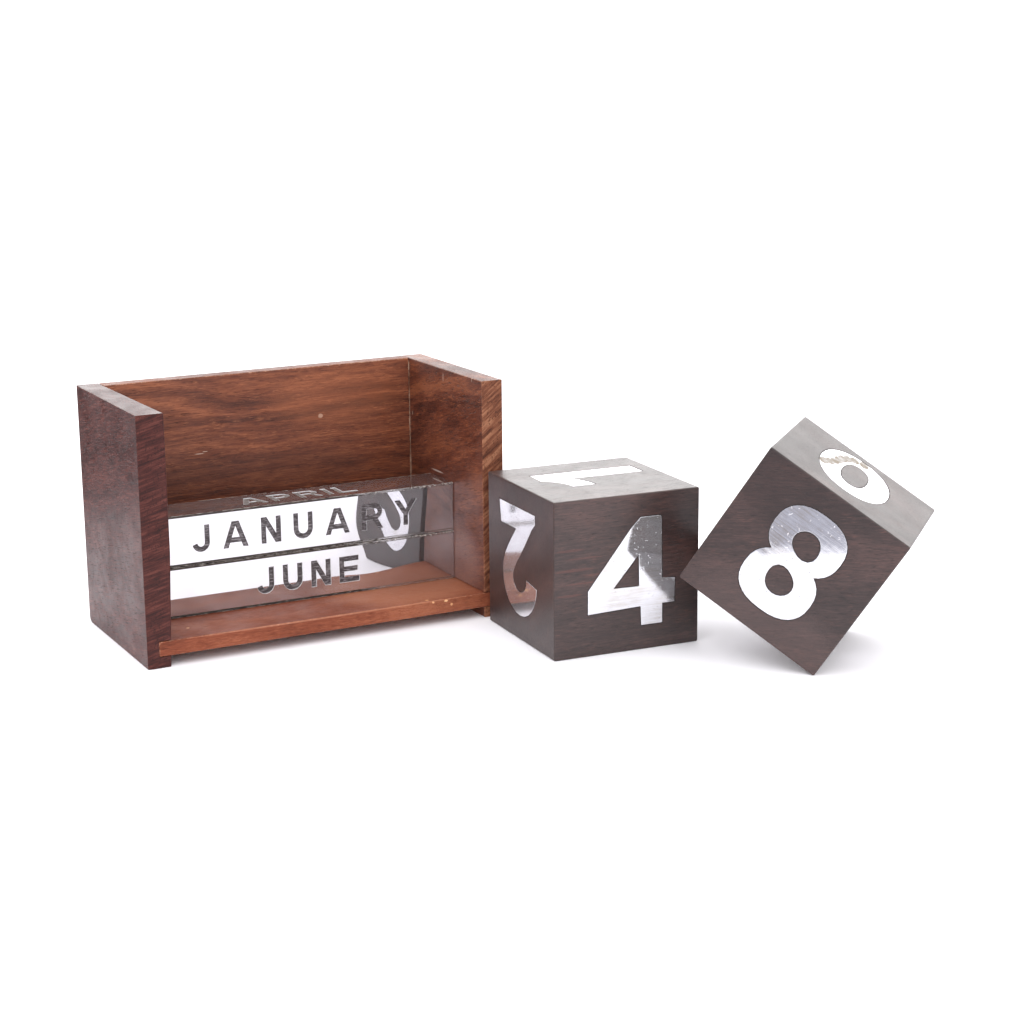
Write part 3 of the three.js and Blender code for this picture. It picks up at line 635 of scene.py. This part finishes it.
def make_corner_glue():
    """A thin dried bead of glue down the right inner corner, with dabs where it was wiped."""
    glue = dull("corner_glue", [rgb(104, 66, 48), rgb(176, 146, 124)], (0.35, 0.6), 0.0002, 0.6)
    corner = Vector((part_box("side_panel_right")[0].x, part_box("back_panel")[0].y, 0))
    corner += Vector((-0.06, -0.06, 0)) * MM
    low, high = Vector((0, 0, 12 * MM)), Vector((0, 0, 99 * MM))

    def radius(t):
        return max(0.05, 0.16 + 0.34 * noise.noise((t * 16, 2.0, 0.5))) * MM

    bm = bmesh.new()
    rope(bm, corner + low, corner + high, radius, 0.15 * MM, 3.7, 240)
    name = "corner_glue_bead"
    piece = add_object(name, finish_mesh(bm, name, [glue]))
    settled(piece, "back_panel_wood", body="tray")


# ------------------------------------------------------------------ the month bars

ENGRAVING = 0.35 * MM
ENAMEL = 0.1 * MM
ENAMEL_RIM = 0.04 * MM
FILED_LIP = 0.32 * MM
# Edges nearer than this to a plate's outline aren't part of its engraving.
PLATE_MARGIN = 0.3 * MM

# The lines along a bar: how far out and up from its core they lie, and how far they stray.
GLUE_LINE = {"out": 0.85 * MM, "up": 0.05 * MM, "spread": 0.06 * MM}
BURR_LINE = {"out": 0.86 * MM, "up": 0.85 * MM, "spread": 0.03 * MM}
LINE_STEPS = 300

# Chips lie along the last quarter of the upper front arris, just proud of the plates.
CHIPS = 110
CHIP_SEED = 11
CHIP_STRETCH = 0.27
CHIP_FRONT = 0.85 * MM
CHIP_TOP = 0.83 * MM

PLATE_OUTWARD = {"front": Vector((0, -1, 0)), "back": Vector((0, 1, 0)),
                 "top": Vector((0, 0, 1)), "bottom": Vector((0, 0, -1))}


def enamel_fill(node, outward, material):
    """The enamel in a plate's engraved letters, made from the floors of the letters."""
    bm = cad_bmesh(node)
    level = highest(bm, outward) - ENGRAVING
    floor = [f for f in bm.faces if f.normal.dot(outward) > FLAT
             and abs(f.calc_center_median().dot(outward) - level) < SAME_LEVEL]
    thicken(bm, floor, outward * ENAMEL)

    def rim(edge):
        return all(v.co.dot(outward) > level + ENAMEL / 2 for v in edge.verts)

    soften(bm, ENAMEL_RIM, rim)
    name = f"{node}_enamel"
    piece = add_object(name, finish_mesh(bm, name, [material]))
    settled(even_normals(piece), "month_plate_metal", body=frame["nodes"][node]["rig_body"])


def make_plate(node, outward, materials):
    """A plate with softened arrises and chamfered engraving.

    materials are those of its flat faces, its sawn edges and the lips of its engraving."""
    low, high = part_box(node)
    across = [i for i in range(3) if abs(outward[i]) < 0.5]

    def engraved(edge):
        return all(low[i] + PLATE_MARGIN < v.co[i] < high[i] - PLATE_MARGIN
                   for v in edge.verts for i in across)

    def lip(edge):
        return engraved(edge) and any(f.normal.dot(outward) > FLAT for f in edge.link_faces) \
            and all(v.co.dot(outward) > surface - SAME_LEVEL for v in edge.verts)

    bm = cad_bmesh(node)
    surface = highest(bm, outward)
    soften(bm, FILED_LIP, lip)
    soften(bm, PLATE_ARRIS, lambda edge: not engraved(edge))
    flat, sawn, filed = range(3)
    for face in bm.faces:
        if abs(face.normal.dot(outward)) > NEARLY_FLAT:
            face.material_index = flat
        else:
            face.material_index = filed if all(engraved(e) for e in face.edges) else sawn
    piece = add_object(f"{node}_finished", finish_mesh(bm, node, materials))
    settled(even_normals(piece), "month_plate_metal", node)


def make_bars():
    finishes, paint = [mirror_metal(), plate_edge_metal(), lip_metal()], enamel()
    glue = dull("bar_glue", [rgb(30, 23, 20), rgb(70, 58, 50)], (0.4, 0.7), 0.0001, 3.0)
    burr = dull("bar_burr", [rgb(90, 80, 72), rgb(206, 198, 190)], (0.3, 0.5), 0.0001, 2.0, 0.4)
    chip = dull("bar_chips", [rgb(120, 104, 90), rgb(240, 234, 228)], (0.3, 0.5), 0.0001, 3.0, 0.4)
    for bar in BARS:
        dressed(f"{bar}_core", core_wood(bar), CORE_ARRIS, "bar_core_wood")
        for node in frame["nodes"]:
            if node.startswith(f"{bar}_") and "_plate_" in node:
                outward = PLATE_OUTWARD[node.split("_")[3]]
                make_plate(node, outward, finishes)
                enamel_fill(node, outward, paint)
        make_bar_lines(bar, "glue", glue, glue_width, **GLUE_LINE)
        make_chips(bar, chip)
        make_bar_lines(bar, "burr", burr, burr_width, **BURR_LINE)


def core_wood(bar):
    centre, half = box_of(f"{bar}_core")
    tones = [rgb(120, 92, 66), rgb(158, 126, 92), rgb(186, 152, 116), rgb(84, 62, 44), rgb(190, 160, 130)]
    look = {"rough": (0.6, 0.8), "figure": 0.3, "wear": 0.1}
    return wood(f"{bar}_wood", centre, half, (0, 0, 0), (25, 18, 0.03), tones, look)


def glue_width(t, seed):
    """The glue in the seams thins out towards the right end."""
    return (0.13 - 0.07 * t + 0.05 * noise.noise((t * 21.0, seed, 1.4))) * MM


def burr_width(t, seed):
    """The burrs along the arrises are coarser near the right end."""
    coarse = max(0.0, t - 0.74)
    width = 0.06 + (0.08 + coarse) * noise.noise((t * 60.0, seed, 5.2)) + 0.2 * coarse
    return min(0.08, max(0.02, width)) * MM


def make_bar_lines(bar, kind, material, width, out, up, spread):
    """Uneven lines along the four long seams or arrises of a bar."""
    low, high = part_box(f"{bar}_core")
    short = 0.3 * MM
    bm = bmesh.new()
    for i, y in enumerate([low.y - out, high.y + out]):
        for k, z in enumerate([low.z - up, high.z + up]):
            seed = i * 5.3 + k * 2.1
            rope(bm, (low.x + short, y, z), (high.x - short, y, z),
                 lambda t: width(t, seed), spread, seed, LINE_STEPS)
    name = f"{bar}_{kind}"
    piece = add_object(name, finish_mesh(bm, name, [material]))
    settled(piece, "bar_core_wood", body=bar)


def make_chips(bar, material):
    """Chips of metal and glue on the upper front arris of a bar, by turns on its top and its front."""
    low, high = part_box(f"{bar}_core")
    rng = random.Random(CHIP_SEED)
    bm = bmesh.new()
    for i in range(CHIPS):
        x = low.x + (high.x - low.x) * (1 - CHIP_STRETCH * rng.random() ** 1.5)
        outward = 0.84 - 0.85 * rng.random() ** 1.5
        length, breadth, depth = rng.uniform(0.2, 0.8), rng.uniform(0.08, 0.28), rng.uniform(0.07, 0.11)
        outward = min(outward, 0.93 - 1.3 * breadth)
        if i % 2:
            place, axis = Vector((x, low.y - outward * MM, high.z + CHIP_TOP)), "Z"
            size = (length * MM, breadth * MM, depth * MM)
        else:
            place, axis = Vector((x, low.y - CHIP_FRONT, high.z + outward * MM)), "Y"
            size = (length * MM, depth * MM, breadth * MM)
        turn = Matrix.Rotation(rng.uniform(-0.25, 0.25), 4, axis)
        shape = Matrix.Translation(place) @ turn @ Matrix.Diagonal((*size, 1))
        made = bmesh.ops.create_icosphere(bm, subdivisions=1, radius=1.0, matrix=shape)
        for v in made["verts"]:
            v.co += (v.co - place) * rng.uniform(-0.35, 0.3)
    name = f"{bar}_chips"
    piece = add_object(name, finish_mesh(bm, name, [material]))
    settled(piece, "month_plate_metal", body=bar)


# ------------------------------------------------------------------ the date cubes

CEMENT_RECESS = 0.3 * MM
# A numeral's pocket is somewhere between these depths.
POCKET_DEPTH = (0.5 * MM, 3 * MM)

CUBE_TONES = [rgb(30, 20, 19), rgb(52, 36, 34), rgb(78, 54, 50), rgb(20, 13, 13), rgb(112, 96, 92)]
CUBE_LOOK = {"figure": 0.15, "fibre": 0.45, "cloud": 0.25, "pores": 0.5, "flecks": 0.3,
             "fleck_tone": rgb(106, 66, 56), "wear": 0.35, "wear_width": 0.5,
             "constants": {"Coat Weight": 0.2, "Coat Roughness": 0.3}}
CUBE_GRAIN = {"date_cube_1": (0, 0, 0), "date_cube_2": (0, 36, 0)}
CUBE_ROUGH = {"date_cube_1": (0.38, 0.44), "date_cube_2": (0.44, 0.51)}

# Places in a cube's own space, in millimetres, on its front (y) or top (z) face.
FRONT_FACE, TOP_FACE = -31.7, 31.7
# The red is real streaks in the wood; the deep colour is painted shade and the pale one painted sheen.
RED, PAINTED_SHADE_TONE, PAINTED_SHEEN_TONE = rgb(108, 58, 50), rgb(32, 20, 19), rgb(90, 70, 67)
CUBE_MARKS_AND_PAINTED_LIGHT = {
    "date_cube_1": [((-25, FRONT_FACE, 12), (9, 1, 0.7), RED, 0.28),
                    ((-19, FRONT_FACE, 8.5), (11, 1, 0.5), RED, 0.25),
                    ((-23, FRONT_FACE, 4), (12, 1, 0.8), RED, 0.3),
                    ((-20, FRONT_FACE, -1.5), (10, 1, 0.5), RED, 0.3),
                    ((-25, FRONT_FACE, -6), (8, 1, 0.7), RED, 0.28),
                    ((-15, FRONT_FACE, 1.5), (8, 1, 0.5), RED, 0.22)],
    # The second cube's marks are painted light: painted shade on the upper left of its front and the left of
    # its top, and a painted sheen of the floor low on its front.
    "date_cube_2": [((-22, FRONT_FACE, 22), (34, 5, 22), PAINTED_SHADE_TONE, 0.5),
                    ((6, FRONT_FACE, -30), (46, 5, 26), PAINTED_SHEEN_TONE, 0.3),
                    ((-24, -8, TOP_FACE), (26, 34, 5), PAINTED_SHADE_TONE, 0.5)]}
# The one numeral with a film on it, and the film's way across it.
SMEARED = ("date_cube_2", 0)
SMEAR = [(-14, -4, TOP_FACE), (-12, 0, TOP_FACE), (-10.8, 4.5, TOP_FACE), (-9.8, 9, TOP_FACE),
         (-9, 13, TOP_FACE), (-7.5, 17, TOP_FACE), (-5, 20.5, TOP_FACE), (-1, 23, TOP_FACE)]


def face_normal(node, towards):
    """The exact normal of a numeral's flat face that looks roughly the given way."""
    total = Vector()
    for face in frame["nodes"][node].data.polygons:
        if face.normal.dot(towards) > 0.9:
            total += face.normal * face.area
    return total.normalized()


def cube_space(cube):
    """A cube's own space: X to its right, Y into it from the front numeral, Z up to the top one."""
    centre = middle_of(f"{cube}_block")
    normals = []
    for value in CUBES[cube][:2]:
        node = f"{cube}_numeral_{value}"
        normals.append(face_normal(node, (middle_of(node) - centre).normalized()))
    back, up = -normals[0], normals[1]
    right = back.cross(up)
    space = Matrix((right, back, up)).transposed().to_4x4()
    space.translation = centre
    return space


def cube_half(cube, space):
    """A cube's half size in millimetres in its own space."""
    into = space.inverted()
    reach = max(abs(c) for v in frame["nodes"][f"{cube}_block"].data.vertices for c in into @ v.co)
    return Vector((1, 1, 1)) * reach / MM


def nearest_axis(direction):
    """The unit vector along the axis that a direction is closest to."""
    axis = max(range(3), key=lambda i: abs(direction[i]))
    return Vector([math.copysign(1, direction[i]) if i == axis else 0 for i in range(3)])


def pocket_cement(cube, value, space, material):
    """The dark cement round and under a numeral: its pocket's room, less the numeral."""
    numeral = f"{cube}_numeral_{value}"
    outward = nearest_axis(space.inverted() @ middle_of(numeral))
    bm = cad_bmesh(f"{cube}_block", space)
    surface = highest(bm, outward)
    shallow, deep = POCKET_DEPTH
    floor = [f for f in bm.faces if f.normal.dot(outward) > FLAT
             and shallow < surface - f.calc_center_median().dot(outward) < deep]
    depth = surface - floor[0].calc_center_median().dot(outward)
    thicken(bm, floor, outward * (depth - CEMENT_RECESS))
    name = f"{cube}_cement_{value}"
    piece = add_object(name, mesh_from(bm, name), space)
    cut_away(piece, add_object("cutter", mesh_from(cad_bmesh(numeral, space), "cutter"), space))
    piece.data.materials.append(material)
    settled(piece, "date_cube_wood", body=cube)


def cut_away(piece, cutter):
    """Takes the cutter's room out of the piece, and removes the cutter."""
    cut = piece.modifiers.new("less_numeral", "BOOLEAN")
    cut.operation, cut.object, cut.solver = "DIFFERENCE", cutter, "EXACT"
    graph = bpy.context.evaluated_depsgraph_get()
    done = bpy.data.meshes.new_from_object(piece.evaluated_get(graph))
    piece.modifiers.clear()
    piece.data = done
    bpy.data.objects.remove(cutter)


def make_cubes():
    clean, smeared = polished_metal("polished_metal"), polished_metal("smeared_metal", SMEAR)
    cement = dull("inlay_cement", [rgb(26, 20, 20), rgb(58, 48, 46)], (0.5, 0.8))
    for cube, values in CUBES.items():
        space = cube_space(cube)
        cube_material = wood(f"{cube}_wood", (0, 0, 0), cube_half(cube, space), CUBE_GRAIN[cube], (60, 90, 0.03),
                     CUBE_TONES, {**CUBE_LOOK, "rough": CUBE_ROUGH[cube]}, CUBE_MARKS_AND_PAINTED_LIGHT[cube])
        dressed(f"{cube}_block", cube_material, CUBE_ARRIS, "date_cube_wood", space)
        for value in values:
            finish = smeared if (cube, value) == SMEARED else clean
            dressed(f"{cube}_numeral_{value}", finish, NUMERAL_ARRIS, "numeral_metal", space)
            pocket_cement(cube, value, space, cement)


# ------------------------------------------------------------------ stage, light and camera

CAMERA_PLACE = (-0.375667, -0.703002, 0.245550)
CAMERA_TURN = (76.4797, 0.5247, -27.8752)
CAMERA_LENS = 72.924
CAMERA_SENSOR = 36.0

FLOOR_REACH = 30
STUDIO_COLOUR = (0.98, 0.99, 1.0, 1.0)
STUDIO_STRENGTH = 1.75


def make_camera():
    data = bpy.data.cameras.new("camera")
    data.lens = CAMERA_LENS
    data.sensor_width = CAMERA_SENSOR
    data.clip_start, data.clip_end = 0.01, 100
    camera = bpy.data.objects.new("camera", data)
    bpy.context.scene.collection.objects.link(camera)
    camera.location = CAMERA_PLACE
    camera.rotation_euler = Euler([math.radians(a) for a in CAMERA_TURN])
    bpy.context.scene.camera = camera


def softbox(name, place, target, size, radiance, tint=(1, 1, 1)):
    """An area light of the given brightness, aimed at a point."""
    data = bpy.data.lights.new(name, "AREA")
    data.shape = "RECTANGLE"
    data.size, data.size_y = size
    data.energy = radiance * math.pi * size[0] * size[1]
    data.color = tint
    light = bpy.data.objects.new(name, data)
    bpy.context.scene.collection.objects.link(light)
    light.location = place
    light.rotation_euler = (Vector(target) - Vector(place)).to_track_quat("-Z", "Y").to_euler()
    light.visible_camera = False


def sheet_mesh(name, reach, constants):
    """A flat square with a plain material."""
    bm = bmesh.new()
    bmesh.ops.create_grid(bm, x_segments=1, y_segments=1, size=reach)
    mesh = mesh_from(bm, name)
    mesh.materials.append(Shader(name, constants).material)
    return mesh


def card(name, place, facing, size, glow):
    """A card glowing with the given grey, a light that only reflections see, standing upright with its face
    across the given direction.
    """
    grey = {"Base Color": (0, 0, 0, 1), "Specular IOR Level": 0.0,
            "Emission Color": (*glow, 1), "Emission Strength": 1.0}
    piece = add_object(name, sheet_mesh(name, 0.5, grey))
    piece.location = place
    piece.rotation_euler = Vector(facing).to_track_quat("Z", "Y").to_euler()
    piece.scale = (size[0], size[1], 1)
    piece.visible_camera = False
    piece.visible_diffuse = False
    piece.visible_shadow = False


def make_room():
    """A bright plain studio with a pale floor."""
    scene = bpy.context.scene
    scene.view_settings.view_transform = "Standard"
    scene.view_settings.look = "None"
    world = bpy.data.worlds.new("studio")
    world.use_nodes = True
    background = world.node_tree.nodes["Background"]
    background.inputs["Color"].default_value = STUDIO_COLOUR
    background.inputs["Strength"].default_value = STUDIO_STRENGTH
    scene.world = world
    pale = {"Base Color": (0.94, 0.92, 0.95, 1), "Roughness": 0.9}
    add_object("floor", sheet_mesh("floor", FLOOR_REACH, pale))


def make_lights():
    """A key light above the camera, a softbox behind, and two cards for reflections."""
    middle = (CAD_BOX[0] + CAD_BOX[1]) / 2
    softbox("key", middle + Vector((-0.6, -0.9, 1.1)), middle, (1.3, 1.3), 1.3)
    softbox("back", middle + Vector((1.2, 1.6, 0.6)), middle, (3.8, 1.0), 1.62, (1.0, 0.972, 0.95))
    card("left_flag", middle_of("side_panel_left") + Vector((-0.065, 0.215, -0.005)),
         (-0.285, 0.958, 0), (0.34, 0.09), (0.05, 0.045, 0.045))
    card("right_flag", middle_of("date_cube_2_numeral_8") + Vector((-0.16, -0.098, 0.095)),
         (-0.823, -0.507, 0), (0.24, 0.3), (0.47, 0.47, 0.55))


make_camera()
make_room()
make_lights()
make_tray()
make_bars()
make_cubes()
